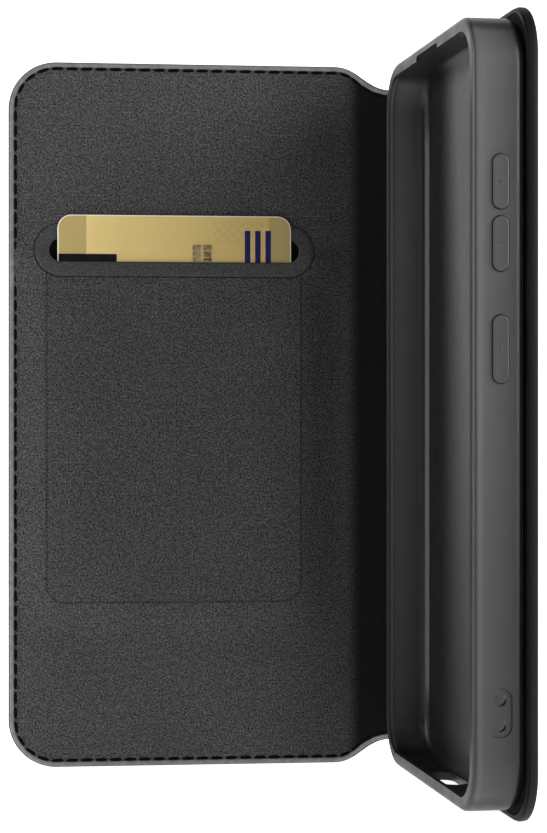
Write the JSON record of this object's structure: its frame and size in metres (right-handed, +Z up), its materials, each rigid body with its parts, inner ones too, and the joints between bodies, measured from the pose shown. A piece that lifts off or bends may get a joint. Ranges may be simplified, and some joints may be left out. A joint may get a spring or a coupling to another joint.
{
  "type": "phone wallet case",
  "caption": "Book-style phone wallet case standing open, with a soft moulded phone tray, a stitched leather cover and a card slot.",
  "frame": {"origin": "centre of the tray's seat face, where the phone's back rests", "axes": "+Z up along the tray's length, +X across the tray towards its button wall, -Y out of the tray's opening"},
  "size_m": [0.095, 0.0985, 0.1624],
  "materials": {
    "tray": "satin moulded",
    "button": "satin moulded",
    "adhesive": "matte",
    "cover_leather": "fine grain, semi-matte",
    "board": "matte",
    "lining": "brushed microfibre",
    "keeper_steel": "plain",
    "magnet": "nickel plated",
    "thread": "waxed",
    "bezel": "smooth",
    "card": "gold, glossy",
    "contact_plate": "gold plated",
    "card_stripe": "matte"
  },
  "bodies": {
    "back": {"tray_shell": "tray", "tray_adhesive": "adhesive", "back_leather": "cover_leather", "back_board": "board", "back_lining": "lining", "back_keepers": "keeper_steel", "back_stitching": "thread"},
    "spine": {"spine_leather": "cover_leather", "spine_board": "board", "spine_lining": "lining", "spine_stitching": "thread"},
    "flap": {"front_leather": "cover_leather", "front_board": "board", "front_lining": "lining", "front_magnets": "magnet", "front_stitching": "thread", "card_pocket": "lining", "slot_bezel": "bezel"},
    "card": {"card_body": "card", "card_contact_plate": "contact_plate", "card_stripe": "card_stripe"},
    "volume_up": {"volume_up_button": "button"},
    "volume_down": {"volume_down_button": "button"},
    "power": {"power_button": "button"}
  },
  "joints": [
    {"name": "spine_fold", "type": "hinge", "parent": "back", "child": "spine", "pos_m": [-0.0407, 0.00325, 0], "axis": [0, 0, -1], "range_deg": [-26, 154]},
    {"name": "flap_fold", "type": "hinge", "parent": "spine", "child": "flap", "pos_m": [-0.04947, -0.01473, 0], "axis": [0, 0, -1], "range_deg": [-68, 112]},
    {"name": "card_slide", "type": "slide", "parent": "flap", "child": "card", "axis": [0, 0, 1], "range_m": [0, 0.075]},
    {"name": "volume_up_press", "type": "slide", "parent": "back", "child": "volume_up", "axis": [-1, 0, 0], "range_m": [0, 0.00035], "stiffness_N_per_m": 600},
    {"name": "volume_down_press", "type": "slide", "parent": "back", "child": "volume_down", "axis": [-1, 0, 0], "range_m": [0, 0.00035], "stiffness_N_per_m": 600},
    {"name": "power_press", "type": "slide", "parent": "back", "child": "power", "axis": [-1, 0, 0], "range_m": [0, 0.00035], "stiffness_N_per_m": 600}
  ]
}
